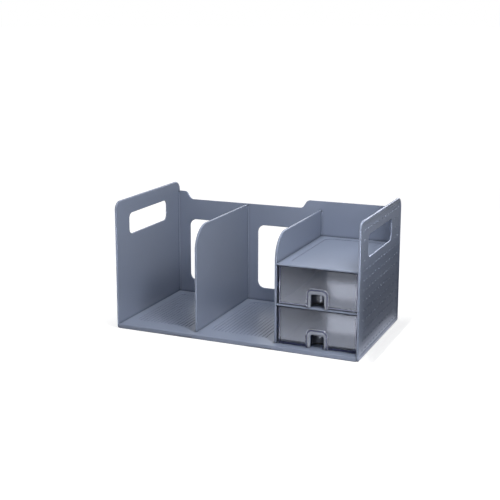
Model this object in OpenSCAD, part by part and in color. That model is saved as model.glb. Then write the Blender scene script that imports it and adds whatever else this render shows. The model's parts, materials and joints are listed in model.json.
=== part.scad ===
// Desk book stand with two open book bays, a two-drawer bay under a shelf
// and tall side panels with grip slots. Knock-down build: every panel is its
// own moulding, held to its neighbours by tongues in pockets and slots.
// Millimetres. Front faces -Y, +X to the right as seen from the front, +Z up.
// Origin: centre of the footprint, on the surface the stand rests on.

/* [Overall size] */
// Width over both side panels
stand_w = 400; // [360:1:440]
// Depth of the side panels
stand_d = 224; // [200:1:250]
// Height of the side panels
side_h = 206; // [198:0.2:230]

/* [Side panels] */
// Thickness of a side panel at its border
side_t = 3.4; // [3.2:0.1:4.4]
// Radius of the top front corner
front_corner_r = 14; // [9:0.5:20]
// Radius of the top back corner
back_corner_r = 17; // [9:0.5:24]
// Radius of the two bottom corners
bottom_corner_r = 3; // [2.5:0.5:5]
// Width of the raised rim round the outer face
rim_w = 7; // [5:0.5:8]
// How far the rim stands out from the field inside it
rim_rise = 0.8; // [0.4:0.1:0.9]
// Length of the grip slot
slot_len = 130; // [100:1:140]
// Height of the grip slot
slot_h = 34; // [28:1:38]
// Corner radius of the grip slot
slot_r = 9; // [6:0.5:12]
// Distance from the front edge to the grip slot
slot_from_front = 42; // [30:0.5:50]
// Distance from the top edge to the grip slot
slot_from_top = 26; // [18:0.2:30]
// Edge rounding of the grip slot
slot_edge_r = 1.1; // [0.6:0.1:1.1]
// Edge rounding of the side panels
side_edge_r = 1.5; // [0.6:0.1:1.5]

/* [Base] */
// Height of the base plate
base_h = 6.6; // [6:0.2:10]
// Thickness of the base skin and of its skirt
base_skin = 2.4; // [2:0.1:3]
// Thickness of the stiffening ribs under the base
under_rib_t = 1.6; // [1.2:0.1:2.4]
// How far those ribs stay above the skirt's lower edge
under_rib_gap = 0.6; // [0.2:0.1:1.5]
// Plain border round the field in each floor and in the top shelf
floor_border = 14.5; // [10:0.5:20]
// Corner radius of that field
floor_field_r = 14; // [6:0.5:18]
// Depth of that field
floor_field_depth = 0.5; // [0.3:0.1:0.6]
// Distance between the floor grooves
groove_pitch = 6.2; // [5:0.1:9]
// Width of a floor groove
groove_w = 1.8; // [1:0.1:2.4]
// Depth of a floor groove below the field
groove_depth = 0.6; // [0.3:0.1:0.8]

/* [Anti-slip pads] */
// Diameter of a pad
pad_d = 14; // [10:0.5:18]
// Depth of the socket that a pad is glued into
pad_socket = 1.4; // [1:0.1:2]
// Wall of the boss round a pad's socket
pad_wall = 2.1; // [1.6:0.1:3]
// How far the pads stand out below the base
pad_drop = 0.8; // [0.5:0.1:1.5]
// Distance from the base edges to the pad centres
pad_inset = 20; // [16:1:30]

/* [Back panel] */
// Thickness of the back panel
back_t = 3; // [2.6:0.1:4]
// How far the back panel sits in from the side panels' back edges
back_inset = 3; // [1:0.1:5]
// Height of the back panel between its shoulders, above the base's underside
back_low_h = 175.2; // [172:0.1:180]
// Height of the back panel at its shoulders
back_high_h = 188.9; // [186:0.1:194]
// Width of the left shoulder, from the stand's left side
left_shoulder_w = 14.4; // [10:0.2:20]
// Distance from the right shoulder to the wall of the drawer bay
right_shoulder_gap = 16.8; // [8:0.2:19]
// Steepness of the curve down from a shoulder, in degrees
shoulder_angle = 57; // [50:1:70]
// Radius of the bends in that curve
shoulder_r = 8; // [3:0.5:9]
// Width of a back window
window_w = 87.8; // [60:0.2:90]
// Height of a back window
window_h = 110.2; // [80:0.2:120]
// Height of the windows above the base's underside
window_z = 29.4; // [22:0.2:40]
// Distance from the centre divider's middle to a window
window_gap = 20.6; // [16:0.2:24]
// Corner radius of the windows
window_r = 12; // [8:0.5:16]
// Edge rounding of the windows
window_edge_r = 1.2; // [0.5:0.1:1.3]
// Radius of the beads that brace the upright joints
bead_r = 2.5; // [2:0.5:6]

/* [Dividers and shelves] */
// Thickness of a divider
divider_t = 3.4; // [3.2:0.1:4.4]
// Height of a divider above the base's underside
divider_h = 174.2; // [150:0.1:174.4]
// Distance from the front of the base to the dividers and shelves
setback = 14.2; // [10:0.2:24]
// Radius of a divider's top front corner
divider_corner_r = 40; // [20:1:42]
// Edge rounding of dividers and shelves
plate_edge_r = 1.1; // [0.5:0.1:1.3]
// Thickness of a shelf
shelf_t = 3; // [2.8:0.1:4]
// Clear height for one drawer
drawer_space = 59; // [56:0.2:62]

/* [Tongues and slots] */
// Length of a tongue
tongue_len = 24; // [16:1:30]
// Thickness of a tongue
tongue_t = 1.8; // [1.4:0.1:2]
// How far a tongue reaches into its pocket
tongue_reach = 1.4; // [1.2:0.1:1.6]
// Clearance round a tongue in its pocket
fit_gap = 0.15; // [0.1:0.05:0.3]

/* [Drawers] */
// Gap between a drawer and each wall of its bay
drawer_side_gap = 3.1; // [1:0.1:4]
// Gap between a drawer's front and the shelf above
drawer_top_gap = 1.2; // [0.8:0.1:3]
// Running gap under a drawer's runners
run_gap = 0.25; // [0.2:0.05:0.5]
// How far the drawer fronts sit behind the shelves' front edges
drawer_recess = 0.6; // [0:0.1:4]
// Gap between a closed drawer and the back panel
drawer_back_gap = 6; // [5:0.5:20]
// Thickness of a drawer's front at its middle
front_t = 3; // [3:0.1:3.6]
// How far the front's face bulges between its upper and lower edges
front_crown = 1.2; // [0.6:0.1:1.2]
// Thickness of a drawer's side, rear and niche walls
wall_t = 2; // [1.6:0.1:2.4]
// Thickness of a drawer's floor
drawer_floor_t = 2; // [1.6:0.1:2.4]
// How much lower the side and rear walls are than the front
wall_drop = 5; // [2:0.5:12]
// How far the side walls sit in from the front's ends
wall_inset = 1.4; // [0.5:0.1:2.5]
// Rounding along the two lower edges of the tray
tray_low_r = 4; // [3:0.5:6]
// How far the front's lower edge clears the soles of the runners
front_lift = 0.5; // [0.2:0.1:1]
// Edge rounding of a drawer's front
front_edge_r = 0.8; // [0.4:0.1:0.8]
// Height of the runners under a drawer
runner_h = 1.2; // [0.8:0.1:2]
// Width of a runner
runner_w = 2; // [1.5:0.1:3]
// Outer corner radius at a drawer's rear
drawer_rear_r = 5; // [4:0.5:8]
// Corner radius of a drawer's front
front_r = 2.2; // [2.1:0.1:4]

/* [Drawer pulls] */
// Width of the raised arch
arch_w = 35; // [32:0.5:40]
// Height of the raised arch
arch_h = 29; // [26:0.5:34]
// Radius of the arch's shoulders
arch_r = 10; // [8:0.5:14]
// How far the arch stands out from the front
arch_proud = 2.4; // [1.2:0.1:3]
// Rounding of the arch's outer and inner edges
arch_edge_r = 2; // [0.8:0.1:2.2]
// Width of the finger opening
grip_w = 21; // [18:0.5:24]
// Height of the finger opening
grip_h = 20; // [17:0.5:21]
// Radius of the finger opening's shoulders
grip_r = 4; // [3:0.5:8]
// Depth of the finger niche behind the front face
niche_depth = 14; // [13:0.5:20]

/* [Hidden] */
$fn = 48;

slate = [0.43, 0.47, 0.55];
smoke = [0.36, 0.38, 0.43, 0.6];
charcoal = [0.12, 0.12, 0.13];

// Overlap that makes a cut run clear of a face
over = 1;

// Width of the strip that carries an edge rounding, plain or, where the
// rounding is large, as a multiple of it
strip_w = 2;
strip_share = 1.2;

// Outer and inner planes of the stand
front_y = -stand_d / 2;
back_y = stand_d / 2;
left_x = -stand_w / 2;
inner_left = left_x + side_t;
inner_right = -inner_left;
back_in = back_y - back_inset - back_t;

// Levels, from the pads up
base_z = pad_drop;
floor_z = base_z + base_h;
middle_z = floor_z + drawer_space;
top_z = middle_z + shelf_t + drawer_space;

// The three bays are equally wide
bay_w = (inner_right - inner_left - 2 * divider_t) / 3;
centre_x = inner_left + bay_w;
bay_wall_x = centre_x + divider_t + bay_w;
cabinet_left = bay_wall_x + divider_t;
cabinet_mid = (cabinet_left + inner_right) / 2;

plate_front = front_y + setback;
plate_d = back_in - plate_front;

// Where tongues sit along a joint, as shares of its length
tongue_places = [0.14, 0.5, 0.86];
pair_places = [0.22, 0.78];

// Where the ribs under the base run, as shares of its depth and width
cross_rib_places = [0.2, 0.4, 0.6, 0.8];
long_rib_places = [1 / 6, 1 / 2, 5 / 6];

// Drawer sizes
drawer_w = bay_w - 2 * drawer_side_gap;
drawer_h = drawer_space - run_gap - drawer_top_gap;
drawer_front = plate_front + drawer_recess;
drawer_d = back_in - drawer_back_gap - drawer_front;

// Turns a plate drawn flat, depth along x and height along y, to stand
// across the width, with its thickness growing towards +X
module stand_up() {
    rotate([90, 0, 90]) children();
}

// Turns a plate drawn flat, width along x and height along y, to stand
// facing the front, with its thickness growing towards -Y
module face_front() {
    rotate([90, 0, 0]) children();
}

// What a corner of radius r loses, for a corner at the origin of the
// first quadrant
module corner_waste(r) {
    if (r > 0) difference() {
        translate([-over, -over]) square(r + over);
        translate([r, r]) circle(r);
    }
}

// Rectangle from a to b with its own radius at each corner, in the order
// bottom left, bottom right, top right, top left
module panel_outline(a, b, r) {
    difference() {
        translate(a) square(b - a);
        translate(a) corner_waste(r[0]);
        translate([b[0], a[1]]) mirror([1, 0]) corner_waste(r[1]);
        translate(b) rotate(180) corner_waste(r[2]);
        translate([a[0], b[1]]) mirror([0, 1]) corner_waste(r[3]);
    }
}

// Cross-section of a plate's edge: width w, thickness t, the edge itself at
// x = w, with its upper corner rounded by e and its lower one by foot
module edge_section(w, t, e, foot) {
    square([w - e, t]);
    translate([0, foot]) square([w, t - e - foot]);
    translate([w - e, t - e]) circle(e);
    if (foot > 0) translate([w - foot, foot]) circle(foot);
}

// Straight rounded edge along +X, the edge itself at y = 0; its lower
// corner is rounded like the upper one, unless foot is given
module edge_run(length, w, t, e, foot = -1) {
    f = foot < 0 ? e : foot;
    rotate([90, 0, 90]) linear_extrude(length) translate([-w, 0]) edge_section(w, t, e, f);
}

// The same round an outer corner: a quarter turn from +X to +Y
module edge_turn(r, w, t, e, foot = -1) {
    f = foot < 0 ? e : foot;
    rotate_extrude(angle = 90, $fn = 64) translate([r - w, 0]) edge_section(w, t, e, f);
}

// The same round an opening's corner: a quarter turn from +X to +Y
module lip_turn(r, w, t, e, foot = -1) {
    f = foot < 0 ? e : foot;
    rotate_extrude(angle = 90, $fn = 64)
        translate([r + w, 0]) mirror([1, 0]) edge_section(w, t, e, f);
}

// Rounded frame round a rectangular opening from a to b, as wide as w
module lip_frame(a, b, r, w, t, e) {
    span = b - a;
    translate([a[0] + r, a[1], 0]) edge_run(span[0] - 2 * r, w, t, e);
    translate([b[0] - r, b[1], 0]) rotate(180) edge_run(span[0] - 2 * r, w, t, e);
    translate([b[0], a[1] + r, 0]) rotate(90) edge_run(span[1] - 2 * r, w, t, e);
    translate([a[0], b[1] - r, 0]) rotate(-90) edge_run(span[1] - 2 * r, w, t, e);
    translate([b[0] - r, b[1] - r, 0]) lip_turn(r, w, t, e);
    translate([a[0] + r, b[1] - r, 0]) rotate(90) lip_turn(r, w, t, e);
    translate([a[0] + r, a[1] + r, 0]) rotate(180) lip_turn(r, w, t, e);
    translate([b[0] - r, a[1] + r, 0]) rotate(270) lip_turn(r, w, t, e);
}

// Tongue or, with grow above 0, the pocket for it: centred on the origin
// in x and y, and reaching up from z = 0
module tongue(length, thick, reach, grow = 0) {
    translate([-length / 2 - grow, -thick / 2 - grow, -over])
        cube([length + 2 * grow, thick + 2 * grow, reach + grow + over]);
}

// Tongue that passes right through the back panel or, with grow above 0,
// the slot for it: pointing to +Y from the plane y = 0, lying flat
module back_tongue(grow = 0) {
    past = grow > 0 ? over : 0;
    rotate([-90, 0, 0]) tongue(tongue_len, tongue_t, back_t + past, grow);
}

// Row of tongues along the Y direction, pointing to +X from the plane
// x = 0, at the shares given of the run from y0 to y1
module side_tongues(y0, y1, z, places, grow = 0) {
    for (share = places) {
        translate([0, y0 + (y1 - y0) * share, z])
            rotate([90, 0, 90]) tongue(tongue_len, tongue_t, tongue_reach, grow);
    }
}

// What the rim's inner slope leaves open: x runs out from the field's edge
// to the rim's crest, y from the field up to the crest and past it
module slope_section() {
    w = rim_w / 2;
    r = (w * w + rim_rise * rim_rise) / (2 * rim_rise);
    difference() {
        translate([0, -over]) square([w, rim_rise + over]);
        translate([w, r]) circle(r);
    }
}

// The same along a straight edge of the field, along +X and out to +Y
module slope_run(length) {
    rotate([90, 0, 90]) linear_extrude(length) slope_section();
}

// The same round a corner of the field, a quarter turn from +X to +Y
module slope_turn(r) {
    rotate_extrude(angle = 90, $fn = 64) translate([r, 0]) slope_section();
}

// Field in the outer face of a side panel, inside the rim
module field_cut() {
    d = stand_d;
    h = side_h;
    w = rim_w;
    rf = front_corner_r - w;
    rk = back_corner_r - w;
    translate([0, 0, -over]) linear_extrude(rim_rise + over)
        panel_outline([w, w], [d - w, h - w], [0, 0, rk, rf]);
    translate([d - w, w, 0]) rotate(180) slope_run(d - 2 * w);
    translate([w + rf, h - w, 0]) slope_run(d - 2 * w - rf - rk);
    translate([w, w, 0]) rotate(90) slope_run(h - 2 * w - rf);
    translate([d - w, h - w - rk, 0]) rotate(-90) slope_run(h - 2 * w - rk);
    translate([w, w, 0]) rotate(180) slope_turn(0);
    translate([d - w, w, 0]) rotate(270) slope_turn(0);
    translate([d - w - rk, h - w - rk, 0]) slope_turn(rk);
    translate([w + rf, h - w - rf, 0]) rotate(90) slope_turn(rf);
}

// Side panel, its outer face down
module side_solid() {
    d = stand_d;
    h = side_h;
    e = side_edge_r;
    rb = bottom_corner_r;
    rf = front_corner_r;
    rk = back_corner_r;
    w = strip_w;
    slot_a = [slot_from_front, h - slot_from_top - slot_h];
    slot_b = slot_a + [slot_len, slot_h];
    reach = [w, w];
    lip_corner = slot_r + w;
    lip_r = [lip_corner, lip_corner, lip_corner, lip_corner];
    difference() {
        union() {
            linear_extrude(side_t)
                panel_outline([w, w], [d - w, h - w], [rb - w, rb - w, rk - w, rf - w]);
            // Rounded outer edges
            translate([rb, 0, 0]) mirror([0, 1, 0]) edge_run(d - 2 * rb, w, side_t, e);
            translate([rf, h, 0]) edge_run(d - rf - rk, w, side_t, e);
            translate([0, rb, 0]) rotate(90) edge_run(h - rb - rf, w, side_t, e);
            translate([d, h - rk, 0]) rotate(-90) edge_run(h - rb - rk, w, side_t, e);
            translate([rb, rb, 0]) rotate(180) edge_turn(rb, w, side_t, e);
            translate([d - rb, rb, 0]) rotate(270) edge_turn(rb, w, side_t, e);
            translate([d - rk, h - rk, 0]) edge_turn(rk, w, side_t, e);
            translate([rf, h - rf, 0]) rotate(90) edge_turn(rf, w, side_t, e);
        }
        field_cut();
        translate([0, 0, -over]) linear_extrude(side_t + 2 * over)
            panel_outline(slot_a - reach, slot_b + reach, lip_r);
    }
    // Rounded edge of the grip slot, as thick as the wall behind the field
    translate([0, 0, rim_rise])
        lip_frame(slot_a, slot_b, slot_r, w, side_t - rim_rise, slot_edge_r);
}

// Pockets in the inner face of a side panel at the plane x = 0, which the
// panel lies behind: for the base, the back panel and the shelves
module side_pockets(levels) {
    mirror([1, 0, 0]) {
        side_tongues(front_y, back_in, floor_z - base_skin / 2, tongue_places, fit_gap);
        for (z = levels) {
            side_tongues(plate_front, back_in, z + shelf_t / 2, pair_places, fit_gap);
        }
        back_tongues(fit_gap);
    }
}

// Upright tongues on the back panel's side edges, pointing to +X
module back_tongues(grow = 0) {
    for (share = tongue_places) {
        translate([0, back_in + back_t / 2, base_z + back_low_h * share])
            rotate([0, 90, 0]) tongue(tongue_len, tongue_t, tongue_reach, grow);
    }
}

// Left side panel
module left_side_panel() {
    color(slate) difference() {
        translate([left_x, front_y, base_z]) stand_up() side_solid();
        translate([inner_left, 0, 0]) side_pockets([]);
    }
}

// Right side panel
module right_side_panel() {
    color(slate) mirror([1, 0, 0]) difference() {
        translate([left_x, front_y, base_z]) stand_up() side_solid();
        translate([inner_left, 0, 0]) side_pockets([middle_z, top_z]);
    }
}

// Recessed field of a floor or shelf, from a to b, drawn flat
module field_outline(a, b) {
    rr = [floor_field_r, floor_field_r, floor_field_r, floor_field_r];
    panel_outline(a + [floor_border, floor_border], b - [floor_border, floor_border], rr);
}

// Grooves that run front to back over a book bay's floor, drawn flat
module floor_grooves(x0, x1) {
    field_w = x1 - x0 - 2 * floor_border;
    count = floor((field_w - 2 * groove_w) / groove_pitch);
    first = (x0 + x1) / 2 - groove_pitch * (count - 1) / 2;
    y0 = plate_front + floor_border + groove_pitch;
    y1 = back_in - floor_border - groove_pitch;
    for (i = [0 : count - 1]) {
        translate([first + i * groove_pitch, 0]) {
            translate([-groove_w / 2, y0]) square([groove_w, y1 - y0]);
            translate([0, y0]) circle(groove_w / 2);
            translate([0, y1]) circle(groove_w / 2);
        }
    }
}

// Where the pads sit
pad_xs = [inner_left + pad_inset, 0, inner_right - pad_inset];
pad_ys = [front_y + pad_inset, back_in - pad_inset];

// Slots in the base for the feet of the dividers
module foot_slots() {
    for (x = [centre_x, bay_wall_x]) {
        for (share = tongue_places) {
            translate([x + divider_t / 2, plate_front + plate_d * share, floor_z - base_skin - over])
                rotate(90) tongue(tongue_len, divider_t, base_skin + 2 * over, fit_gap);
        }
    }
}

// Base plate: a shallow tray turned over, with ribs inside
module base_plate() {
    w = inner_right - inner_left;
    d = back_in - front_y;
    rib_h = base_h - base_skin - under_rib_gap;
    color(slate) difference() {
        union() {
            // Skin and skirt, the front top edge rounded
            difference() {
                translate([inner_left, front_y + strip_w, base_z]) cube([w, d - strip_w, base_h]);
                translate([inner_left + base_skin, front_y + base_skin, base_z - over])
                    cube([w - 2 * base_skin, d - 2 * base_skin, base_h - base_skin + over]);
            }
            translate([inner_left, front_y, base_z]) mirror([0, 1, 0])
                edge_run(w, strip_w, base_h, plate_edge_r);
            // Stiffening ribs, clear of the surface below
            translate([inner_left, front_y, base_z + under_rib_gap]) {
                for (share = cross_rib_places) {
                    translate([base_skin, d * share - under_rib_t / 2, 0])
                        cube([w - 2 * base_skin, under_rib_t, rib_h]);
                }
                for (share = long_rib_places) {
                    translate([w * share - under_rib_t / 2, base_skin, 0])
                        cube([under_rib_t, d - 2 * base_skin, rib_h]);
                }
            }
            // Bosses round the pads' sockets
            for (x = pad_xs, y = pad_ys) {
                translate([x, y, base_z]) cylinder(d = pad_d + 2 * pad_wall, h = base_h - base_skin);
            }
            // Tongues for the side panels and the back panel
            for (side = [0, 1]) {
                mirror([side, 0, 0]) translate([inner_right, 0, 0])
                    side_tongues(front_y, back_in, floor_z - base_skin / 2, tongue_places);
            }
            base_back_tongues(0);
        }
        foot_slots();
        for (x = pad_xs, y = pad_ys) {
            translate([x, y, base_z - over]) cylinder(d = pad_d + 2 * fit_gap, h = pad_socket + over);
        }
        // Recessed, grooved floor of each book bay
        for (x = [inner_left, centre_x + divider_t]) {
            translate([0, 0, floor_z - floor_field_depth]) linear_extrude(over + floor_field_depth)
                field_outline([x, plate_front], [x + bay_w, back_in]);
            translate([0, 0, floor_z - floor_field_depth - groove_depth]) linear_extrude(base_h)
                floor_grooves(x, x + bay_w);
        }
    }
}

// Tongues from the base's rear edge into the back panel
module base_back_tongues(grow) {
    for (x = [centre_x - bay_w / 2, 0, cabinet_mid]) {
        translate([x, back_in, floor_z - base_skin / 2]) back_tongue(grow);
    }
}

// Anti-slip pads, glued into sockets under the base
module anti_slip_pads() {
    color(charcoal) for (x = pad_xs, y = pad_ys) {
        translate([x, y, 0]) cylinder(d = pad_d, h = pad_drop + pad_socket);
    }
}

// Divider: a plate with one large round corner and rounded free edges
module divider_solid() {
    h = base_z + divider_h - floor_z;
    r = divider_corner_r;
    e = plate_edge_r;
    t = divider_t;
    stand_up() {
        linear_extrude(t) panel_outline([strip_w, 0], [plate_d, h - strip_w], [0, 0, 0, r - strip_w]);
        rotate(90) edge_run(h - r, strip_w, t, e);
        translate([r, h, 0]) edge_run(plate_d - r, strip_w, t, e);
        translate([r, h - r, 0]) rotate(90) edge_turn(r, strip_w, t, e);
    }
    // Feet that pass through the base's skin
    for (share = tongue_places) {
        translate([t / 2, plate_d * share, 0])
            mirror([0, 0, 1]) rotate(90) tongue(tongue_len, t, base_skin);
    }
    divider_back_tongues(0);
}

// Tongues from a divider's rear edge into the back panel
module divider_back_tongues(grow) {
    h = base_z + divider_h - floor_z;
    for (share = pair_places) {
        translate([divider_t / 2, plate_d, h * share]) rotate([0, 90, 0]) back_tongue(grow);
    }
}

// Divider between the two book bays
module centre_divider() {
    color(slate) translate([centre_x, plate_front, floor_z]) divider_solid();
}

// Divider that is also the left wall of the drawer bay
module drawer_bay_divider() {
    color(slate) difference() {
        translate([bay_wall_x, plate_front, floor_z]) divider_solid();
        translate([cabinet_left, 0, 0]) mirror([1, 0, 0]) for (z = [middle_z, top_z]) {
            side_tongues(plate_front, back_in, z + shelf_t / 2, pair_places, fit_gap);
        }
    }
}

// Plain shelf between the drawer bay's walls
module shelf_solid(z) {
    translate([cabinet_left, plate_front + strip_w, z]) cube([bay_w, plate_d - strip_w, shelf_t]);
    translate([cabinet_left, plate_front, z]) mirror([0, 1, 0])
        edge_run(bay_w, strip_w, shelf_t, plate_edge_r);
    translate([inner_right, 0, 0]) side_tongues(plate_front, back_in, z + shelf_t / 2, pair_places);
    translate([cabinet_left, 0, 0]) mirror([1, 0, 0])
        side_tongues(plate_front, back_in, z + shelf_t / 2, pair_places);
    shelf_back_tongue(z, 0);
}

// Tongue from a shelf's rear edge into the back panel
module shelf_back_tongue(z, grow) {
    translate([cabinet_mid, back_in, z + shelf_t / 2]) back_tongue(grow);
}

// Shelf between the two drawers
module middle_shelf() {
    color(slate) shelf_solid(middle_z);
}

// Shelf over the drawers, with a recessed field
module top_shelf() {
    color(slate) difference() {
        shelf_solid(top_z);
        translate([0, 0, top_z + shelf_t - floor_field_depth]) linear_extrude(over)
            field_outline([cabinet_left, plate_front], [inner_right, back_in]);
    }
}

// Point at radius r and angle a from c
function polar(c, r, a) = [c[0] + r * cos(a), c[1] + r * sin(a)];

// Points of an arc, from angle a0 to a1
function arc(c, r, a0, a1, steps = 8) =
    [for (i = [0 : steps]) polar(c, r, a0 + (a1 - a0) * i / steps)];

// Width of the curve between a shoulder and the lower middle
drop_h = back_high_h - back_low_h;
drop_bend = 2 * shoulder_r * (1 - cos(shoulder_angle));
drop_w = 2 * shoulder_r * sin(shoulder_angle) + (drop_h - drop_bend) / tan(shoulder_angle);

// Curve down from a shoulder that ends at x0, as points from left to right
function shoulder_curve(x0) = concat(
    arc([x0, back_high_h - shoulder_r], shoulder_r, 90, 90 - shoulder_angle),
    arc([x0 + drop_w, back_low_h + shoulder_r], shoulder_r, 270 - shoulder_angle, 270)
);

// The same curve, mirrored so that it rises to a shoulder starting at x1
function rising_curve(x1) = [
    for (i = [0 : len(shoulder_curve(0)) - 1])
        let (p = shoulder_curve(0)[len(shoulder_curve(0)) - 1 - i])
        [x1 - p[0], p[1]]
];

// Outline of the back panel, x across and y up from the base's underside
module back_outline() {
    right_start = bay_wall_x - right_shoulder_gap;
    polygon(concat(
        [[inner_left, 0], [inner_left, back_high_h]],
        shoulder_curve(left_x + left_shoulder_w),
        rising_curve(right_start),
        [[inner_right, back_high_h], [inner_right, 0]]
    ));
}

// Concave bead in the corner at the origin, along +X and -Y, drawn flat
module bead_section() {
    difference() {
        translate([fit_gap, -bead_r]) square([bead_r, bead_r + over / 2]);
        translate([bead_r + fit_gap, -bead_r]) circle(bead_r);
    }
}

// Upright bead at x, on the side that side = 1 (right) or -1 (left) gives
module brace_bead(x, side, z0, z1) {
    translate([x, back_in, z0]) mirror([side < 0 ? 1 : 0, 0, 0])
        linear_extrude(z1 - z0) bead_section();
}

// Back panel with two windows, shoulders and bracing beads
module back_panel() {
    divider_mid = centre_x + divider_t / 2;
    windows = [divider_mid - window_gap - window_w, divider_mid + window_gap];
    bead_z = floor_z + fit_gap;
    bead_top = base_z + divider_h - bead_r;
    shelf_top = top_z + shelf_t + fit_gap;
    side_bead_top = base_z + back_high_h - bead_r;
    frame = strip_w * 2;
    frame_r = window_r + frame;
    rr = [frame_r, frame_r, frame_r, frame_r];
    color(slate) difference() {
        union() {
            translate([0, back_in + back_t, base_z]) face_front() {
                linear_extrude(back_t) difference() {
                    back_outline();
                    for (x = windows) {
                        panel_outline([x - frame, window_z - frame],
                                      [x + window_w + frame, window_z + window_h + frame], rr);
                    }
                }
                for (x = windows) {
                    lip_frame([x, window_z], [x + window_w, window_z + window_h],
                              window_r, frame, back_t, window_edge_r);
                }
            }
            brace_bead(inner_left, 1, bead_z, side_bead_top);
            brace_bead(inner_right, -1, shelf_top, side_bead_top);
            brace_bead(centre_x, -1, bead_z, bead_top);
            brace_bead(centre_x + divider_t, 1, bead_z, bead_top);
            brace_bead(bay_wall_x, -1, bead_z, bead_top);
            brace_bead(cabinet_left, 1, shelf_top, bead_top);
            translate([inner_right, 0, 0]) back_tongues();
            mirror([1, 0, 0]) translate([inner_right, 0, 0]) back_tongues();
        }
        base_back_tongues(fit_gap);
        for (z = [middle_z, top_z]) {
            shelf_back_tongue(z, fit_gap);
        }
        for (x = [centre_x, bay_wall_x]) {
            translate([x, plate_front, floor_z]) divider_back_tongues(fit_gap);
        }
    }
}

// Arch outline of width w and height h, open side down, drawn flat
module arch_outline(w, h, r) {
    panel_outline([-w / 2, 0], [w / 2, h], [0, 0, r, r]);
}

// Raised arch round the finger opening, rounded along its outer and inner
// edges, rooted in the front
module arch_solid() {
    root = front_t - front_edge_r;
    t = root + arch_proud;
    e = arch_edge_r;
    w = strip_share * e;
    out = arch_w / 2;
    in = grip_w / 2;
    out_c = [out - arch_r, arch_h - arch_r];
    in_c = [in - grip_r, grip_h - grip_r];
    translate([0, root, 0]) face_front() {
        linear_extrude(t) difference() {
            arch_outline(arch_w - 2 * w, arch_h - w, arch_r - w);
            translate([0, -over]) arch_outline(grip_w + 2 * w, grip_h + w + over, grip_r + w);
        }
        // Outer edge
        translate([-out_c[0], arch_h, 0]) edge_run(2 * out_c[0], w, t, e, 0);
        for (side = [0, 1]) {
            mirror([side, 0, 0]) {
                translate([out, out_c[1], 0]) rotate(-90) edge_run(out_c[1], w, t, e, 0);
                translate([out_c[0], out_c[1], 0]) edge_turn(arch_r, w, t, e, 0);
            }
        }
        // Inner edge
        translate([in_c[0], grip_h, 0]) rotate(180) edge_run(2 * in_c[0], w, t, e, 0);
        for (side = [0, 1]) {
            mirror([side, 0, 0]) {
                translate([in, 0, 0]) rotate(90) edge_run(in_c[1], w, t, e, 0);
                translate([in_c[0], in_c[1], 0]) lip_turn(grip_r, w, t, e, 0);
            }
        }
    }
}

// Side view of a drawer's front, its face towards -X: the face bulges by
// front_crown between the upper and lower edges, and all edges are rounded
module front_section() {
    e = front_edge_r;
    span = drawer_h - front_lift;
    r = (span * span / 4 + front_crown * front_crown) / (2 * front_crown);
    up = span / 2 - e;
    x = r - sqrt(r * r - up * up) + e;
    translate([0, front_lift + span / 2]) {
        intersection() {
            translate([0, -up]) square([front_t, 2 * up]);
            translate([r, 0]) circle(r, $fn = 720);
        }
        translate([x, -span / 2]) square([front_t - e - x, span]);
        for (side = [-1, 1]) {
            translate([x, side * up]) circle(e);
            translate([front_t - e, side * up]) circle(e);
        }
    }
}

// Front of a drawer, without its pull
module front_plate() {
    half = drawer_w / 2;
    end_r = front_crown + front_edge_r;
    corners = [front_r, front_r, front_r, front_r];
    intersection() {
        translate([-half, 0, 0]) stand_up() linear_extrude(2 * half) front_section();
        translate([0, front_t, 0]) face_front() linear_extrude(front_t)
            panel_outline([-half, front_lift], [half, drawer_h], corners);
        linear_extrude(drawer_h) panel_outline([-half, 0], [half, front_t], [end_r, end_r, 0, 0]);
    }
}

// Plan of the finger niche, round at the back, grown by g and reaching
// forward of its mouth by lead, drawn flat
module niche_plan(g, lead) {
    r = grip_w / 2 + g;
    straight = niche_depth - grip_w / 2;
    translate([-r, -lead]) square([2 * r, straight + lead]);
    intersection() {
        translate([0, straight]) circle(r);
        translate([-r, straight - over / 2]) square([2 * r, r + over]);
    }
}

// Block with the tray's rounded rear and lower edges, set in by g from the
// tray's outside and standing on z = bottom
module tray_block(g, bottom) {
    half = drawer_w / 2 - wall_inset - g;
    rear_r = drawer_rear_r - g;
    low_r = tray_low_r - g;
    intersection() {
        translate([0, 0, bottom]) linear_extrude(drawer_h)
            panel_outline([-half, front_t / 2], [half, drawer_d - g], [0, 0, rear_r, rear_r]);
        translate([0, drawer_d, bottom]) face_front() linear_extrude(drawer_d)
            panel_outline([-half, 0], [half, 2 * drawer_h], [low_r, low_r, 0, 0]);
    }
}

// Drawer, with the middle of its front at the origin, on its runners' soles
module drawer_solid() {
    half = drawer_w / 2;
    wall_top = drawer_h - wall_drop;
    runner_x = half - wall_inset - tray_low_r - runner_w;
    difference() {
        union() {
            front_plate();
            translate([0, 0, front_lift]) arch_solid();
            // Tray, its hollow cut before the niche is added inside it
            difference() {
                tray_block(0, runner_h);
                tray_block(wall_t, runner_h + drawer_floor_t);
                translate([-drawer_w, 0, wall_top]) cube([2 * drawer_w, 2 * drawer_d, drawer_h]);
            }
            // Runners
            for (side = [-1, 1]) {
                translate([side * runner_x - runner_w / 2, front_t / 2, 0])
                    cube([runner_w, drawer_d - drawer_rear_r - front_t / 2, runner_h + drawer_floor_t / 2]);
            }
            // Walls and roof of the finger niche
            translate([0, front_t, runner_h]) linear_extrude(front_lift + grip_h + wall_t - runner_h)
                niche_plan(wall_t, front_t / 2);
        }
        // Niche, open below and open to the front through the arch
        translate([0, front_t, -over]) linear_extrude(front_lift + grip_h + over) niche_plan(0, 0);
        translate([0, front_t + over, front_lift]) face_front()
            linear_extrude(front_t + arch_proud + 2 * over)
                translate([0, -over]) arch_outline(grip_w, grip_h + over, grip_r);
    }
}

// Upper drawer
module upper_drawer() {
    color(smoke) translate([cabinet_mid, drawer_front, middle_z + shelf_t + run_gap]) drawer_solid();
}

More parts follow.
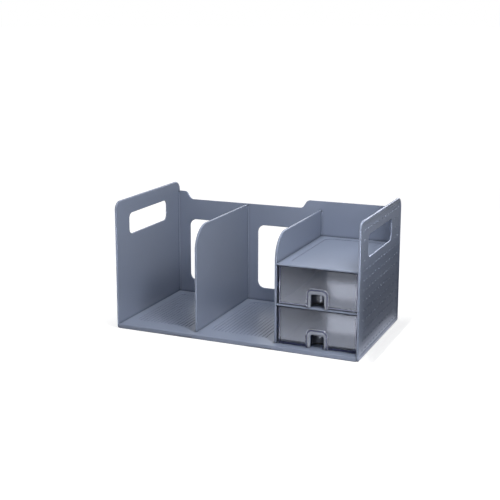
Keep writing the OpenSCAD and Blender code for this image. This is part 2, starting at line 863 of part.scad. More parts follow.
// Lower drawer
module lower_drawer() {
    color(smoke) translate([cabinet_mid, drawer_front, floor_z + run_gap]) drawer_solid();
}

base_plate();
left_side_panel();
right_side_panel();
back_panel();
centre_divider();
drawer_bay_divider();
middle_shelf();
top_shelf();
upper_drawer();
lower_drawer();
anti_slip_pads();
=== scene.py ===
"""Looks of a desk book stand: moulded slate plastic panels and two smoke-tinted drawers.

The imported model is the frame: every panel stays where it is and gets its finish here, and the
raised dots of the side panels are added as pieces of their own. Lengths are metres, the front of
the stand faces -Y, and +Z is up.
"""

import json
import logging
import math
from collections.abc import Mapping, Sequence
from dataclasses import dataclass, field
from enum import Enum
from typing import Any

import bmesh
import bpy
from mathutils import Matrix, Vector

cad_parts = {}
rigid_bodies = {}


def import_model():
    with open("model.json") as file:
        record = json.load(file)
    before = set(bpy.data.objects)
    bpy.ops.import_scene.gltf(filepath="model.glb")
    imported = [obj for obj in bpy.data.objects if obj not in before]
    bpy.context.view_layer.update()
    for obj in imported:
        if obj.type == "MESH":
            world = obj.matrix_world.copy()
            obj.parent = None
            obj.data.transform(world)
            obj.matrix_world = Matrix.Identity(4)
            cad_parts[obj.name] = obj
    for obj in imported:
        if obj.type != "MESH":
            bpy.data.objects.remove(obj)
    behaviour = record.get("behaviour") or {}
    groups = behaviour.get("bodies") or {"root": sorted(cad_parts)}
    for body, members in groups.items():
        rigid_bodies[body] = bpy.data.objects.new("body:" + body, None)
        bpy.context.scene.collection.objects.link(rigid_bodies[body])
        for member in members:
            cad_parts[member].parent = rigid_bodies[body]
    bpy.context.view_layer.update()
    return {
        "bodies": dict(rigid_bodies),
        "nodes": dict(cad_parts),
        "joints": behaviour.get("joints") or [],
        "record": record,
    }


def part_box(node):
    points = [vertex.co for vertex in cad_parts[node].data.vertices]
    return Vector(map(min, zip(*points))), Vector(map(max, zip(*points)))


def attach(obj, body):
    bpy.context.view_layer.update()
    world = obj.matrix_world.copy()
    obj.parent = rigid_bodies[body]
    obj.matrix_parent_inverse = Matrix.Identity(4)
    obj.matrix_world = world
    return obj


LOG = logging.getLogger("book_stand")
IMAGE_SIDE_PX = 500

# The middle of whatever runs from 0 to 1, such as a noise, a box's own places or a picture.
MIDDLE = 0.5

# A Mix node's colour sockets share their names with its other sockets, so they go by number.
MIX_FIRST = 6
MIX_SECOND = 7
MIX_RESULT = 2

Rgb = tuple[float, float, float]
Point = tuple[float, float, float]
Corners = tuple[Vector, Vector]

WHITE: Rgb = (1.0, 1.0, 1.0)


class Side(Enum):
    """Which end of the stand a side panel closes; the value is the sign of its X."""

    LEFT = -1
    RIGHT = 1


class Level(Enum):
    """Which of the two drawers is meant; the value starts its node's name."""

    UPPER = "upper"
    LOWER = "lower"


class Rise(Enum):
    """How a mask goes from 0 to 1; the value is the Map Range node's own word for it."""

    EVEN = "LINEAR"
    SMOOTH = "SMOOTHSTEP"


class Signal:
    """An output socket of a shader node that takes part in arithmetic."""

    def __init__(self, board: "Board", socket: bpy.types.NodeSocket) -> None:
        """Keeps the socket and the board that its node is on.

        Args:
            board: The board that new Math nodes are added to.
            socket: The output that this signal stands for.
        """
        self.board = board
        self.socket = socket

    def _with(self, operation: str, first: "Operand", second: "Operand") -> "Signal":
        """Adds a Math node on two operands.

        Args:
            operation: The Math node's operation.
            first: Its first value or signal.
            second: Its second value or signal.

        Returns:
            The result's signal.
        """
        return self.board.add(
            "ShaderNodeMath", {"operation": operation}, {0: first, 1: second}
        )

    def __add__(self, other: "Operand") -> "Signal":
        """Returns self + other."""
        return self._with("ADD", self, other)

    def __radd__(self, other: "Operand") -> "Signal":
        """Returns other + self."""
        return self._with("ADD", other, self)

    def __sub__(self, other: "Operand") -> "Signal":
        """Returns self - other."""
        return self._with("SUBTRACT", self, other)

    def __rsub__(self, other: "Operand") -> "Signal":
        """Returns other - self."""
        return self._with("SUBTRACT", other, self)

    def __mul__(self, other: "Operand") -> "Signal":
        """Returns self * other."""
        return self._with("MULTIPLY", self, other)

    def __rmul__(self, other: "Operand") -> "Signal":
        """Returns other * self."""
        return self._with("MULTIPLY", other, self)

    def __or__(self, other: "Operand") -> "Signal":
        """Returns the larger of self and other."""
        return self._with("MAXIMUM", self, other)


Operand = Signal | float
Value = Signal | float | Sequence[float]


class Board:
    """The node tree of one material or of the world, which every node is added to."""

    def __init__(self, tree: bpy.types.NodeTree) -> None:
        """Empties the tree.

        Args:
            tree: The node tree to build in.
        """
        self.tree = tree
        tree.nodes.clear()

    def add(
        self,
        kind: str,
        settings: Mapping[str, Any] | None = None,
        inputs: Mapping[int | str, Value] | None = None,
        output: int | str = 0,
    ) -> Signal:
        """Adds one node, its settings first, then its sockets.

        Args:
            kind: The node's type.
            settings: Its properties, or under "stops" a ramp's places and colours.
            inputs: Values or signals by socket name or number.
            output: The output wanted, by name or number.

        Returns:
            The signal of that output.
        """
        node = self.tree.nodes.new(kind)
        for name, value in (settings or {}).items():
            if name == "stops":
                self._set_stops(node, value)
            else:
                setattr(node, name, value)
        for key, value in (inputs or {}).items():
            if isinstance(value, Signal):
                self.tree.links.new(value.socket, node.inputs[key])
            else:
                node.inputs[key].default_value = value
        if not node.outputs:
            return Signal(self, node.inputs[0])
        return Signal(self, node.outputs[output])

    @staticmethod
    def _set_stops(ramp: bpy.types.Node, stops: Sequence[tuple[float, Rgb]]) -> None:
        """Sets a ramp's stops.

        Args:
            ramp: The Color Ramp node.
            stops: Places from 0 to 1, each with its colour.
        """
        elements = ramp.color_ramp.elements
        while len(elements) < len(stops):
            elements.new(1.0)
        for element, (place, colour) in zip(elements, stops):
            element.position = place
            element.color = (*colour, 1.0)

    def blend(self, share: Operand, first: Value, second: Value) -> Signal:
        """Mixes two colours.

        Args:
            share: How much of the second colour is taken.
            first: The colour at a share of 0.
            second: The colour at a share of 1.

        Returns:
            The mixed colour.
        """
        return self.add(
            "ShaderNodeMix",
            {"data_type": "RGBA"},
            {"Factor": share, MIX_FIRST: first, MIX_SECOND: second},
            output=MIX_RESULT,
        )

    def ramp(
        self, value: Operand, start: float, end: float, rise: Rise = Rise.SMOOTH
    ) -> Signal:
        """Turns a value into a mask.

        Args:
            value: What the mask follows.
            start: Where it is 0.
            end: Where it is 1; it may lie below the start.
            rise: How it goes from one to the other.

        Returns:
            The mask, from 0 to 1.
        """
        return self.add(
            "ShaderNodeMapRange",
            {"interpolation_type": rise.value},
            {"Value": value, "From Min": start, "From Max": end},
        )

    def noise(self, per_metre: float, detail: float, where: Signal) -> Signal:
        """Adds a noise texture.

        Args:
            per_metre: Cells in a metre.
            detail: Octaves of finer noise.
            where: The texture's coordinates.

        Returns:
            The noise, from 0 to 1.
        """
        return self.add(
            "ShaderNodeTexNoise",
            None,
            {"Vector": where, "Scale": per_metre, "Detail": detail},
        )

    def bump(self, height: Signal, distance: float) -> Signal:
        """Turns a height into a normal at full strength.

        Args:
            height: The height, from 0 to 1.
            distance: How far a height of 1 stands out.

        Returns:
            The normal.
        """
        return self.add(
            "ShaderNodeBump", None, {"Height": height, "Distance": distance, "Strength": 1.0}
        )

    def split(self, vector: Signal) -> tuple[Signal, ...]:
        """Splits a vector.

        Args:
            vector: The vector.

        Returns:
            Its X, Y and Z.
        """
        first = self.add("ShaderNodeSeparateXYZ", None, {"Vector": vector})
        return tuple(Signal(self, part) for part in first.socket.node.outputs)


def rgba(colour: Rgb) -> tuple[float, float, float, float]:
    """Returns the colour with full alpha."""
    return (*colour, 1.0)


def new_material(name: str) -> tuple[bpy.types.Material, Board]:
    """Makes a node material.

    Args:
        name: The material's name.

    Returns:
        The material and its empty board.
    """
    material = bpy.data.materials.new(name)
    material.use_nodes = True
    return material, Board(material.node_tree)


def add_quad(
    name: str, corners: Sequence[Point], material: bpy.types.Material
) -> bpy.types.Object:
    """Makes a flat piece with four corners.

    Args:
        name: The piece's name.
        corners: Its corners, in order round it.
        material: Its material.

    Returns:
        The piece, linked to the scene.
    """
    data = bpy.data.meshes.new(name)
    data.from_pydata(corners, [], [(0, 1, 2, 3)])
    data.materials.append(material)
    piece = bpy.data.objects.new(name, data)
    bpy.context.scene.collection.objects.link(piece)
    return piece


@dataclass(frozen=True)
class SlatePlastic:
    """Injection-moulded slate plastic with a fine satin grain."""

    name: str = "slate_fine_satin"
    colour: Rgb = (0.205, 0.238, 0.318)
    deep_colour: Rgb = (0.190, 0.221, 0.298)
    gloss: float = 0.30
    roughness: float = 0.32
    roughness_drift: float = 0.08
    flow_per_metre: float = 14.0
    flow_detail: float = 2.0
    grain_per_metre: float = 2400.0
    grain_detail: float = 3.0
    grain_height: float = 0.00003
    # Painted shade: ambient occlusion darkens creases and corners, standing in for the shade that
    # falls there.
    painted_crease_shade: Rgb = (0.060, 0.070, 0.095)
    crease_reach: float = 0.005
    crease_samples: int = 6
    crease_range: tuple[float, float] = (0.95, 0.35)

    def _painted_shade_share(self, board: Board, openness: Signal) -> Signal:
        """Turns the openness of a place into its share of the painted shade in creases.

        Args:
            board: The board to add to.
            openness: How free of near surfaces the place is, from 0 to 1.

        Returns:
            The share.
        """
        return board.ramp(openness, *self.crease_range, Rise.EVEN)

    def material(self) -> bpy.types.Material:
        """Builds the material.

        Returns:
            The material, with slow colour drift from the moulding, a fine grain and painted shade
            that darkens its creases and corners.
        """
        material, board = new_material(self.name)
        where = board.add("ShaderNodeTexCoord", output="Object")
        flow = board.noise(self.flow_per_metre, self.flow_detail, where)
        grain = board.noise(self.grain_per_metre, self.grain_detail, where)
        openness = board.add(
            "ShaderNodeAmbientOcclusion",
            {"samples": self.crease_samples},
            {"Distance": self.crease_reach},
            output="AO",
        )
        plain_colour = board.blend(flow, rgba(self.colour), rgba(self.deep_colour))
        shader = board.add(
            "ShaderNodeBsdfPrincipled",
            None,
            {
                # Base colour with painted shade in the creases and corners.
                "Base Color": board.blend(
                    self._painted_shade_share(board, openness),
                    plain_colour,
                    rgba(self.painted_crease_shade),
                ),
                "Roughness": self.roughness + (flow - MIDDLE) * self.roughness_drift,
                "Specular IOR Level": self.gloss,
                "Normal": board.bump(grain, self.grain_height),
            },
        )
        board.add("ShaderNodeOutputMaterial", None, {"Surface": shader})
        return material


@dataclass(frozen=True)
class HighlightDotPlastic(SlatePlastic):
    """The slate plastic of the raised dots, lighter as a painted highlight on them."""

    name: str = "slate_dots_painted_highlight"
    # Lighter than the panels: a painted highlight on the dots.
    colour: Rgb = (0.27, 0.31, 0.39)
    deep_colour: Rgb = (0.24, 0.28, 0.36)


@dataclass(frozen=True)
class FloorPlastic(SlatePlastic):
    """The base plate's slate plastic, with painted shade in its grooves, darkest beside the wall to
    their right, where the wall's shadow falls.
    """

    name: str = "slate_grooved_floor"
    # Painted shade in the grooves, deeper than on the panels.
    painted_crease_shade: Rgb = (0.022, 0.026, 0.040)
    crease_range: tuple[float, float] = (0.97, 0.68)
    wall_nodes: tuple[str, ...] = ("centre_divider", "drawer_bay_divider")
    reach: tuple[float, float] = (0.060, 0.020)
    wall_half: float = 0.0005
    far_shade_share: float = 0.22

    def _painted_shade_share(self, board: Board, openness: Signal) -> Signal:
        """Turns the openness of a place into its share of the painted shade in creases.

        Args:
            board: The board to add to.
            openness: How free of near surfaces the place is, from 0 to 1.

        Returns:
            The share of painted shade, which grows towards the walls, where their shadow falls.
        """
        # Painted shadow of the walls: the grooves darken towards each wall on their right.
        along, _, _ = board.split(board.add("ShaderNodeTexCoord", output="Object"))
        near: Operand = 0.0
        for node in self.wall_nodes:
            low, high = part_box(node)
            wall = (low.x + high.x) / 2
            rise = board.ramp(along, wall - self.reach[0], wall - self.reach[1])
            cut = board.ramp(along, wall + self.wall_half, wall - self.wall_half)
            near = rise * cut | near
        share = self.far_shade_share + near * (1.0 - self.far_shade_share)
        return super()._painted_shade_share(board, openness) * share


@dataclass(frozen=True)
class ArchPlace:
    """Where the raised arch and the edges of a drawer's front lie, from the drawer's own box."""

    width: float = 0.035
    height: float = 0.029
    corner_r: float = 0.010
    foot: float = 0.0005
    proud: float = 0.0024
    proud_fade: float = 0.0003
    front_reach: float = 0.0045
    front_fade: float = 0.0005
    sole_scale: float = 0.7
    sole_start: float = 0.0010

    def masks(self, board: Board, size: Vector) -> tuple[Signal, Signal, Signal, Signal]:
        """Measures every point of the drawer against the arch and the front's edges.

        Args:
            board: The board to add to.
            size: The drawer's extents.

        Returns:
            How far the point lies inside the arch's outline, whether it stands proud of the
            front, how far it lies from the front's nearest side or lower edge (counted so that
            a line is wider along the lower one), and whether it is on the front at all.
        """
        x, y, z = board.split(board.add("ShaderNodeTexCoord", output="Generated"))
        offset = (x - MIDDLE) * size.x
        across = offset | (0.0 - offset)
        depth = y * size.y
        up = z * size.z - self.foot
        past = board.add(
            "ShaderNodeCombineXYZ",
            None,
            {
                "X": (across - (self.width / 2 - self.corner_r)) | 0.0,
                "Y": (up - (self.height - self.corner_r)) | 0.0,
            },
        )
        turn = board.add("ShaderNodeVectorMath", {"operation": "LENGTH"}, {0: past}, "Value")
        inside = self.corner_r - turn
        raised = board.ramp(depth, self.proud, self.proud - self.proud_fade)
        nearness = (across - size.x / 2) | (0.0 - self.sole_start - up * self.sole_scale)
        front = board.ramp(depth, self.front_reach, self.front_reach - self.front_fade)
        return inside, raised, 0.0 - nearness, front


@dataclass(frozen=True)
class SmokePlastic:
    """Polished see-through plastic with a smoke tint that deepens with thickness.

    Painted dark lines follow the arch of the pull and the front's edges, standing in for the tint
    gathered in edge-on walls and for dark reflections there. The arch's face and outline and the
    front's rim are satin, and their lighter colour is a painted highlight.
    """

    name: str = "smoke_tinted_clear"
    haze_colour: Rgb = (0.66, 0.71, 0.82)
    haze_drift: float = 0.1
    clear_share: float = 0.97
    tint: Rgb = (0.32, 0.345, 0.52)
    tint_per_metre: float = 90.0
    refraction: float = 1.5
    roughness: float = 0.05
    roughness_drift: float = 0.02
    flow_per_metre: float = 22.0
    flow_detail: float = 2.0
    ripple_per_metre: float = 60.0
    ripple_detail: float = 1.0
    ripple_height: float = 0.00004
    arch: ArchPlace = ArchPlace()
    # Satin: partly a rougher finish, and partly a painted highlight in its lighter colour on the
    # arch and the front's rim.
    satin_highlight_colour: Rgb = (0.32, 0.35, 0.43)
    satin_roughness: float = 0.35
    satin_highlight_share: float = 0.36
    satin_from: tuple[float, float] = (0.0030, 0.0040)
    outline_to: float = 0.0007
    # Painted shade: the colour of the dark lines at the arch and the front's edges.
    painted_edge_shade: Rgb = (0.022, 0.026, 0.070)
    painted_edge_shade_pale: Rgb = (0.032, 0.036, 0.090)
    painted_edge_shade_share: float = 0.92
    arch_line: tuple[float, float] = (0.0009, 0.0032)
    front_line: tuple[float, float] = (0.0008, 0.0032)
    fade: float = 0.0004

    def _shares(self, board: Board, size: Vector) -> tuple[Signal, Signal]:
        """Finds the satin places, with their painted highlight, and the painted dark lines.

        Args:
            board: The board to add to.
            size: The drawer's extents.

        Returns:
            The shares of the satin finish with its painted highlight and of the painted dark lines.
        """
        inside, raised, from_edge, front = self.arch.masks(board, size)
        outline = board.ramp(inside, self.outline_to + self.fade, self.outline_to - self.fade)
        rim = front * board.ramp(from_edge, self.front_line[0], self.front_line[0] - self.fade)
        satin = raised * (board.ramp(inside, *self.satin_from) | outline) | rim
        # Painted dark lines along the arch and the front's edges.
        line = raised * self._band(board, inside, self.arch_line)
        border = front * self._band(board, from_edge, self.front_line)
        beside_arch = board.ramp(inside, self.fade, -self.fade)
        return satin * self.satin_highlight_share, (line | border * beside_arch) * self.painted_edge_shade_share

    def _band(self, board: Board, value: Signal, line: tuple[float, float]) -> Signal:
        """Masks a line.

        Args:
            board: The board to add to.
            value: The distance that the line is measured by.
            line: Where it begins and ends.

        Returns:
            1 between the two, fading to 0 past them.
        """
        start, end = line
        rise = board.ramp(value, start - self.fade, start + self.fade)
        return rise * board.ramp(value, end + self.fade, end - self.fade)

    def material(self, size: Vector) -> bpy.types.Material:
        """Builds the material.

        Args:
            size: The extents of the drawers that it is for.

        Returns:
            The material, with faint flow ripples and a tint through its depth.
        """
        material, board = new_material(self.name)
        where = board.add("ShaderNodeTexCoord", output="Object")
        flow = board.noise(self.flow_per_metre, self.flow_detail, where)
        ripple = board.noise(self.ripple_per_metre, self.ripple_detail, where)
        bump = board.bump(ripple, self.ripple_height)
        shader = board.add(
            "ShaderNodeBsdfPrincipled",
            None,
            {
                "Base Color": board.blend(
                    flow * self.haze_drift, rgba(self.haze_colour), rgba(WHITE)
                ),
                "Roughness": self.roughness + (flow - MIDDLE) * self.roughness_drift,
                "IOR": self.refraction,
                "Transmission Weight": self.clear_share,
                "Normal": bump,
            },
        )
        # The satin face: partly a rougher finish, and partly a painted highlight.
        satin_highlight_face = board.add(
            "ShaderNodeBsdfPrincipled",
            None,
            {
                "Base Color": board.blend(flow, rgba(self.satin_highlight_colour), rgba(self.haze_colour)),
                "Roughness": self.satin_roughness,
                "Normal": bump,
            },
        )
        # Painted shade: a dark base colour for the lines at the arch and the front's edges.
        painted_dark_edge = board.add(
            "ShaderNodeBsdfPrincipled",
            None,
            {
                "Base Color": board.blend(flow, rgba(self.painted_edge_shade), rgba(self.painted_edge_shade_pale)),
                "Roughness": self.roughness,
                "Normal": bump,
            },
        )
        satin, edge = self._shares(board, size)
        faced = board.add("ShaderNodeMixShader", None, {0: satin, 1: shader, 2: satin_highlight_face})
        lined = board.add("ShaderNodeMixShader", None, {0: edge, 1: faced, 2: painted_dark_edge})
        depth = board.add(
            "ShaderNodeVolumeAbsorption",
            None,
            {"Color": rgba(self.tint), "Density": self.tint_per_metre},
        )
        board.add("ShaderNodeOutputMaterial", None, {"Surface": lined, "Volume": depth})
        return material


@dataclass(frozen=True)
class PadRubber:
    """Soft matte rubber of the anti-slip pads."""

    name: str = "pad_soft_rubber"
    colour: Rgb = (0.022, 0.022, 0.024)
    dusty_colour: Rgb = (0.045, 0.045, 0.048)
    roughness: float = 0.82
    grain_per_metre: float = 1600.0
    grain_detail: float = 3.0
    grain_height: float = 0.00008

    def material(self) -> bpy.types.Material:
        """Builds the material.

        Returns:
            The material, with a dusty, pebbled skin.
        """
        material, board = new_material(self.name)
        where = board.add("ShaderNodeTexCoord", output="Object")
        grain = board.noise(self.grain_per_metre, self.grain_detail, where)
        shader = board.add(
            "ShaderNodeBsdfPrincipled",
            None,
            {
                "Base Color": board.blend(grain, rgba(self.colour), rgba(self.dusty_colour)),
                "Roughness": self.roughness,
                "Normal": board.bump(grain, self.grain_height),
            },
        )
        board.add("ShaderNodeOutputMaterial", None, {"Surface": shader})
        return material


@dataclass
class Moulding:
    """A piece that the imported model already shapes: it keeps its mesh and gets its finish."""

    node: str
    finish: bpy.types.Material

    def dress(self, frame: Mapping[str, Any]) -> None:
        """Puts the finish on every material slot of the node.
        """
        piece = frame["nodes"][self.node]
        for slot in piece.material_slots:
            slot.material = self.finish
        LOG.info("%s: %d faces, finish %s", piece.name, len(piece.data.polygons), self.finish.name)


@dataclass
class DotField:
    """Raised dots in rows over the recessed field of a side panel."""

    side: Side
    finish: bpy.types.Material
    body: str = "stand"
    slot: str = "slate_plastic"
    pitch_y: float = 0.01545
    pitch_z: float = 0.015
    first_from_front: float = 0.0221
    first_from_base: float = 0.011
    columns: int = 13
    rows: int = 13
    dot_r: float = 0.0014
    dot_h: float = 0.00078
    rim_rise: float = 0.0008
    root: float = 0.0001
    slot_from_front: float = 0.042
    slot_length: float = 0.130
    slot_low: float = 0.146
    slot_height: float = 0.034
    slot_edge: float = 0.002
    spokes: int = 12
    rings: int = 4

    def spots(self, low: Vector, high: Vector) -> list[tuple[float, float]]:
        """Works out where the dots stand, leaving out the grip slot and its rounded edge.

        Args:
            low: The panel's lowest corner.
            high: Its highest corner; not used.

        Returns:
            Places in Y and Z.
        """
        margin = self.slot_edge + 2 * self.dot_r
        slot_y0 = low.y + self.slot_from_front - margin
        slot_y1 = low.y + self.slot_from_front + self.slot_length + margin
        slot_z0 = low.z + self.slot_low - margin
        slot_z1 = low.z + self.slot_low + self.slot_height + margin
        found = []
        for column in range(self.columns):
            y = low.y + self.first_from_front + column * self.pitch_y
            for row in range(self.rows):
                z = low.z + self.first_from_base + row * self.pitch_z
                if not (slot_y0 < y < slot_y1 and slot_z0 < z < slot_z1):
                    found.append((y, z))
        return found

    def _dome(self, mesh: bmesh.types.BMesh, x: float, y: float, z: float) -> None:
        """Adds one domed dot that grows outwards from the plane x.

        Args:
            mesh: The mesh to add to.
            x: The plane of the field.
            y: The dot's middle in Y.
            z: Its middle in Z.
        """
        out = float(self.side.value)
        circles = []
        profile = [(self.dot_r, -self.root)]
        for ring in range(self.rings):
            angle = math.pi / 2 * ring / self.rings
            profile.append((self.dot_r * math.cos(angle), self.dot_h * math.sin(angle)))
        for radius, height in profile:
            circles.append(
                [
                    mesh.verts.new(
                        (
                            x + out * height,
                            y + radius * math.cos(math.tau * k / self.spokes),
                            z + radius * math.sin(math.tau * k / self.spokes),
                        )
                    )
                    for k in range(self.spokes)
                ]
            )
        tip = mesh.verts.new((x + out * self.dot_h, y, z))
        for inner, outer in zip(circles[1:], circles):
            for k in range(self.spokes):
                after = (k + 1) % self.spokes
                mesh.faces.new((outer[k], outer[after], inner[after], inner[k]))
        for k in range(self.spokes):
            mesh.faces.new((circles[-1][k], circles[-1][(k + 1) % self.spokes], tip))
        mesh.faces.new(list(reversed(circles[0])))

    def build(self) -> None:
        """Builds the dots of one panel as one piece that rides on the stand."""
        name = self.side.name.lower()
        low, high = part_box(f"{name}_side_panel")
        skin_x = (high.x if self.side is Side.RIGHT else low.x) - self.side.value * self.rim_rise
        spots = self.spots(low, high)
        shape = bmesh.new()
        for y, z in spots:
            self._dome(shape, skin_x, y, z)
        bmesh.ops.recalc_face_normals(shape, faces=shape.faces)
        for face in shape.faces:
            face.smooth = len(face.verts) <= 4
        data = bpy.data.meshes.new(f"{name}_side_dots")
        shape.to_mesh(data)
        shape.free()
        piece = bpy.data.objects.new(f"{name}_side_dots", data)
        bpy.context.scene.collection.objects.link(piece)
        data.materials.append(self.finish)
        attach(piece, self.body)
        LOG.info("%s: %d dots", piece.name, len(spots))


@dataclass
class Shell:
    """The fixed panels of the stand."""

    slate: bpy.types.Material
    floor: bpy.types.Material
    dots: bpy.types.Material
    panels: tuple[str, ...] = (
        "left_side_panel",
        "right_side_panel",
        "back_panel",
        "centre_divider",
        "drawer_bay_divider",
        "middle_shelf",
        "top_shelf",
    )

    def build(self, frame: Mapping[str, Any]) -> None:
        """Dresses the panels and adds the dots of both side panels.
        """
        Moulding("base_plate", self.floor).dress(frame)
        for panel in self.panels:
            Moulding(panel, self.slate).dress(frame)
        for side in Side:
            DotField(side, self.dots).build()


@dataclass
class Drawer:
    """One see-through drawer."""

    level: Level
    smoke: bpy.types.Material

    def build(self, frame: Mapping[str, Any]) -> None:
        """Dresses the drawer.
        """
        Moulding(f"{self.level.value}_drawer", self.smoke).dress(frame)


@dataclass
class PadSet:
    """The anti-slip pads under the base."""

    rubber: bpy.types.Material

    def build(self, frame: Mapping[str, Any]) -> None:
        """Dresses the pads.
        """
        Moulding("anti_slip_pads", self.rubber).dress(frame)


@dataclass(frozen=True)
class Lamp:
    """A rectangular studio lamp, which the camera doesn't see."""

    name: str
    place: Point
    aim: Point
    size: tuple[float, float]
    power: float

    def build(self) -> None:
        """Builds the lamp, turned towards its aim."""
        data = bpy.data.lights.new(self.name, "AREA")
        data.shape = "RECTANGLE"
        data.size, data.size_y = self.size
        data.energy = self.power
        lamp = bpy.data.objects.new(self.name, data)
        lamp.location = self.place
        towards = Vector(self.aim) - Vector(self.place)
        lamp.rotation_euler = towards.to_track_quat("-Z", "Y").to_euler()
        lamp.visible_camera = False
        bpy.context.scene.collection.objects.link(lamp)


@dataclass(frozen=True)
class Card:
    """An upright studio card, which the camera doesn't see.

    A flag keeps light off what stands behind it, and doesn't show as a reflection. Any other card
    only shows as a reflection.
    """

    name: str
    low: Point
    high: Point
    level: float
    flag: bool = False
    colour: Rgb = (0.89, 0.95, 1.13)

    def _level(self, board: Board) -> Operand:
        """Gives the card's brightness.

        Args:
            board: The board of the card's material; not used here.

        Returns:
            A plain number, or a signal where it varies over the card.
        """
        return self.level

    def build(self) -> None:
        """Builds the card across its two corners."""
        material, board = new_material(self.name)
        light = board.add(
            "ShaderNodeEmission",
            None,
            {"Color": rgba(self.colour), "Strength": self._level(board)},
        )
        board.add("ShaderNodeOutputMaterial", None, {"Surface": light})
        (x0, y0, z0), (x1, y1, z1) = self.low, self.high
        corners = [(x0, y0, z0), (x1, y1, z0), (x1, y1, z1), (x0, y0, z1)]
        card = add_quad(self.name, corners, material)
        card.visible_camera = False
        card.visible_transmission = False
        card.visible_diffuse = self.flag
        card.visible_shadow = self.flag
        card.visible_glossy = not self.flag


@dataclass(frozen=True)
class FrontCard(Card):
    """The card that the drawer fronts mirror: a bright window beside a slow gradient.

    Beside the window the card is shaded, most of all high up.
    """

    window_x: float = -0.335
    window_z: tuple[float, float] = (-0.49, -0.19)
    window_level: float = 8.4
    edge_x: float = 0.012
    edge_z: float = 0.080
    left_x: float = -0.505
    shade: float = 1.85
    gradient_z: tuple[float, float] = (-0.05, -0.65)
    gradient: float = 3.2
    right_lift: float = 0.8

    def _level(self, board: Board) -> Operand:
        """Gives the card's brightness.

        Args:
            board: The board of the card's material.

        Returns:
            The signal: darkest high up beside the window, brighter downwards.
        """
        along, _, height = board.split(board.add("ShaderNodeTexCoord", output="Object"))
        right = board.ramp(along, self.window_x - self.edge_x, self.window_x + self.edge_x)
        low, high = self.window_z
        window = (
            right
            * board.ramp(height, low - self.edge_z, low + self.edge_z)
            * board.ramp(height, high + self.edge_z, high - self.edge_z)
        )
        down = board.ramp(height, *self.gradient_z, Rise.EVEN)
        beside = board.ramp(along, self.left_x, self.window_x, Rise.EVEN)
        plain = (
            down * self.gradient
            + self.level
            - beside * (1.0 - right) * (1.0 - down) * self.shade
            + right * (1.0 - down) * self.right_lift
        )
        return plain * (1.0 - window) + window * self.window_level


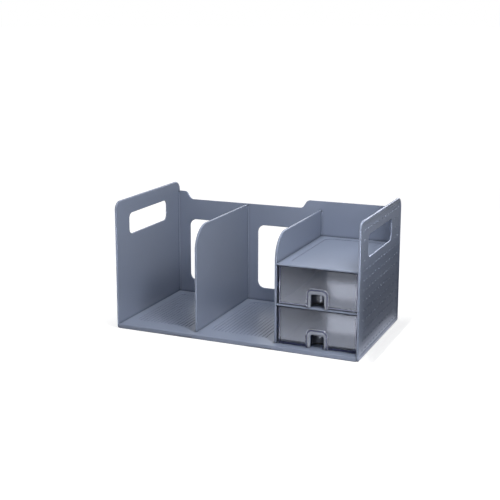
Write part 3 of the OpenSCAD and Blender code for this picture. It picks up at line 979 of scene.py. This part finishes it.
@dataclass
class Studio:
    """The floor, the surroundings, the lamps, the cards and the camera."""

    floor_side: float = 60.0
    floor_glow: tuple[float, float] = (0.80, 1.0)
    floor_fade: tuple[float, float] = (0.5, 2.5)
    floor_albedo: float = 0.40
    sky_up: float = 0.20
    sky_level: float = 0.18
    sky_down: float = 0.18
    camera_place: Point = (0.587997, -1.442617, 0.496187)
    camera_azimuth: float = 25.26651
    camera_elevation: float = 11.42959
    camera_roll: float = -0.39966
    focal_px: float = 999.0789
    principal_px: tuple[float, float] = (206.4100, 214.9595)
    sensor: float = 36.0
    lamps: tuple[Lamp, ...] = field(
        default_factory=lambda: (
            Lamp("near_softbox", (0.34, -0.30, 0.60), (0.0, 0.0, 0.10), (0.2, 0.2), 2.85),
            Lamp("top_softbox", (0.0, -0.05, 1.3), (0.0, 0.0, 0.10), (0.3, 0.3), 7.0),
            Lamp("right_softbox", (1.1, -0.6, 0.9), (0.0, 0.0, 0.10), (0.8, 0.8), 3.2),
            Lamp("front_softbox", (0.2, -1.3, 0.35), (0.0, 0.0, 0.05), (0.5, 0.5), 2.0),
            Lamp("rear_softbox", (-1.2, 0.9, 1.1), (0.0, 0.0, 0.08), (0.8, 0.8), 4.0),
        )
    )
    cards: tuple[Card, ...] = field(
        default_factory=lambda: (
            FrontCard("front_card", (-0.75, -1.6, -1.0), (0.1, -1.6, 0.10), 1.3),
            Card("side_card", (0.25, -0.16, 0.0), (0.25, 0.60, 0.11), 0.02),
            Card("rear_card", (0.60, 0.2, -1.2), (0.60, 3.0, 0.30), 0.20),
            Card("left_strip", (-0.85, -0.75, -0.22), (-0.80, -0.15, 0.15), 24.0),
            Card("right_strip", (0.95, -0.95, -0.21), (1.08, -0.15, 0.12), 40.0),
            Card("right_low_strip", (0.95, -0.90, -0.45), (1.08, -0.40, -0.21), 12.0),
            Card("rear_strip", (0.0, 1.6, 0.42), (0.65, 1.6, 0.80), 10.0),
            Card("floor_strip", (0.212, -0.13, -0.03), (0.212, 0.14, 0.004), 1.8),
            Card("side_flag", (0.222, -0.112, 0.004), (0.222, 0.14, 0.150), 0.22, flag=True),
            Card("corner_flag", (0.202, 0.01, 0.208), (0.202, 0.112, 0.26), 0.08, flag=True),
        )
    )

    def _seen(self, board: Board) -> Signal:
        """Finds out whether a ray shows its target straight, mirrored or through plastic.

        Args:
            board: The board to add to.

        Returns:
            1 for camera, glossy and transmission rays, and 0 for the rest.
        """
        rays = {
            kind: board.add("ShaderNodeLightPath", output=kind)
            for kind in ("Is Camera Ray", "Is Glossy Ray", "Is Transmission Ray")
        }
        return rays["Is Camera Ray"] | rays["Is Glossy Ray"] | rays["Is Transmission Ray"]

    def build_world(self) -> None:
        """Makes the surroundings: white where they are seen, a soft sky where they light."""
        world = bpy.data.worlds.new("studio")
        bpy.context.scene.world = world
        world.use_nodes = True
        board = Board(world.node_tree)
        _, _, up = board.split(board.add("ShaderNodeTexCoord", output="Generated"))
        grey = board.add(
            "ShaderNodeValToRGB",
            {
                "stops": [
                    (0.0, (self.sky_down,) * 3),
                    (MIDDLE, (self.sky_level,) * 3),
                    (1.0, (self.sky_up,) * 3),
                ]
            },
            {"Fac": up * MIDDLE + MIDDLE},
        )
        shown = board.blend(self._seen(board), grey, rgba(WHITE))
        light = board.add("ShaderNodeBackground", None, {"Color": shown, "Strength": 1.0})
        board.add("ShaderNodeOutputWorld", None, {"Surface": light})

    def build_floor(self) -> None:
        """Makes the pale floor that the stand's pads rest on."""
        material, board = new_material("studio_floor")
        matte = board.add(
            "ShaderNodeBsdfDiffuse", None, {"Color": rgba((self.floor_albedo,) * 3)}
        )
        place = board.add("ShaderNodeTexCoord", output="Object")
        away = board.add("ShaderNodeVectorMath", {"operation": "LENGTH"}, {0: place}, "Value")
        near_glow, far_glow = self.floor_glow
        level = near_glow + board.ramp(away, *self.floor_fade) * (far_glow - near_glow)
        glow = board.add(
            "ShaderNodeEmission",
            None,
            {"Color": rgba(WHITE), "Strength": self._seen(board) * level},
        )
        both = board.add("ShaderNodeAddShader", None, {0: matte, 1: glow})
        board.add("ShaderNodeOutputMaterial", None, {"Surface": both})
        half = self.floor_side / 2
        corners = [(-half, -half, 0.0), (half, -half, 0.0), (half, half, 0.0), (-half, half, 0.0)]
        floor = add_quad("studio_floor", corners, material)
        floor.visible_glossy = False

    def build_camera(self) -> None:
        """Makes the scene's camera at the photograph's place, with its framing."""
        azimuth, elevation, roll = (
            math.radians(a)
            for a in (self.camera_azimuth, self.camera_elevation, self.camera_roll)
        )
        back = Vector(
            (
                math.sin(azimuth) * math.cos(elevation),
                -math.cos(azimuth) * math.cos(elevation),
                math.sin(elevation),
            )
        )
        level_right = Vector((0.0, 0.0, 1.0)).cross(back).normalized()
        level_up = back.cross(level_right)
        right = level_right * math.cos(roll) + level_up * math.sin(roll)
        up = level_up * math.cos(roll) - level_right * math.sin(roll)
        data = bpy.data.cameras.new("photo_camera")
        data.sensor_width = self.sensor
        data.lens = self.focal_px * self.sensor / IMAGE_SIDE_PX
        data.shift_x = MIDDLE - self.principal_px[0] / IMAGE_SIDE_PX
        data.shift_y = self.principal_px[1] / IMAGE_SIDE_PX - MIDDLE
        camera = bpy.data.objects.new("photo_camera", data)
        turn = Matrix((right, up, back)).transposed().to_4x4()
        camera.matrix_world = Matrix.Translation(self.camera_place) @ turn
        bpy.context.scene.collection.objects.link(camera)
        bpy.context.scene.camera = camera

    def build(self) -> None:
        """Builds the whole studio."""
        bpy.context.scene.view_settings.view_transform = "Standard"
        self.build_world()
        self.build_floor()
        self.build_camera()
        for light in (*self.lamps, *self.cards):
            light.build()
        LOG.info("studio: %d lamps, %d cards", len(self.lamps), len(self.cards))


def plain(box: Corners) -> list[list[float]]:
    """Returns a box's two corners as plain lists of numbers."""
    return [[float(v) for v in corner] for corner in box]


def main() -> None:
    """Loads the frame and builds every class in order."""
    logging.basicConfig(level=logging.INFO, format="%(name)s: %(message)s")
    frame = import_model()
    Studio().build()
    low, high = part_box("upper_drawer")
    smoke = SmokePlastic().material(high - low)
    shell = Shell(
        SlatePlastic().material(), FloorPlastic().material(), HighlightDotPlastic().material()
    )
    shell.build(frame)
    for level in Level:
        Drawer(level, smoke).build(frame)
    PadSet(PadRubber().material()).build(frame)


if __name__ == "__main__":
    main()
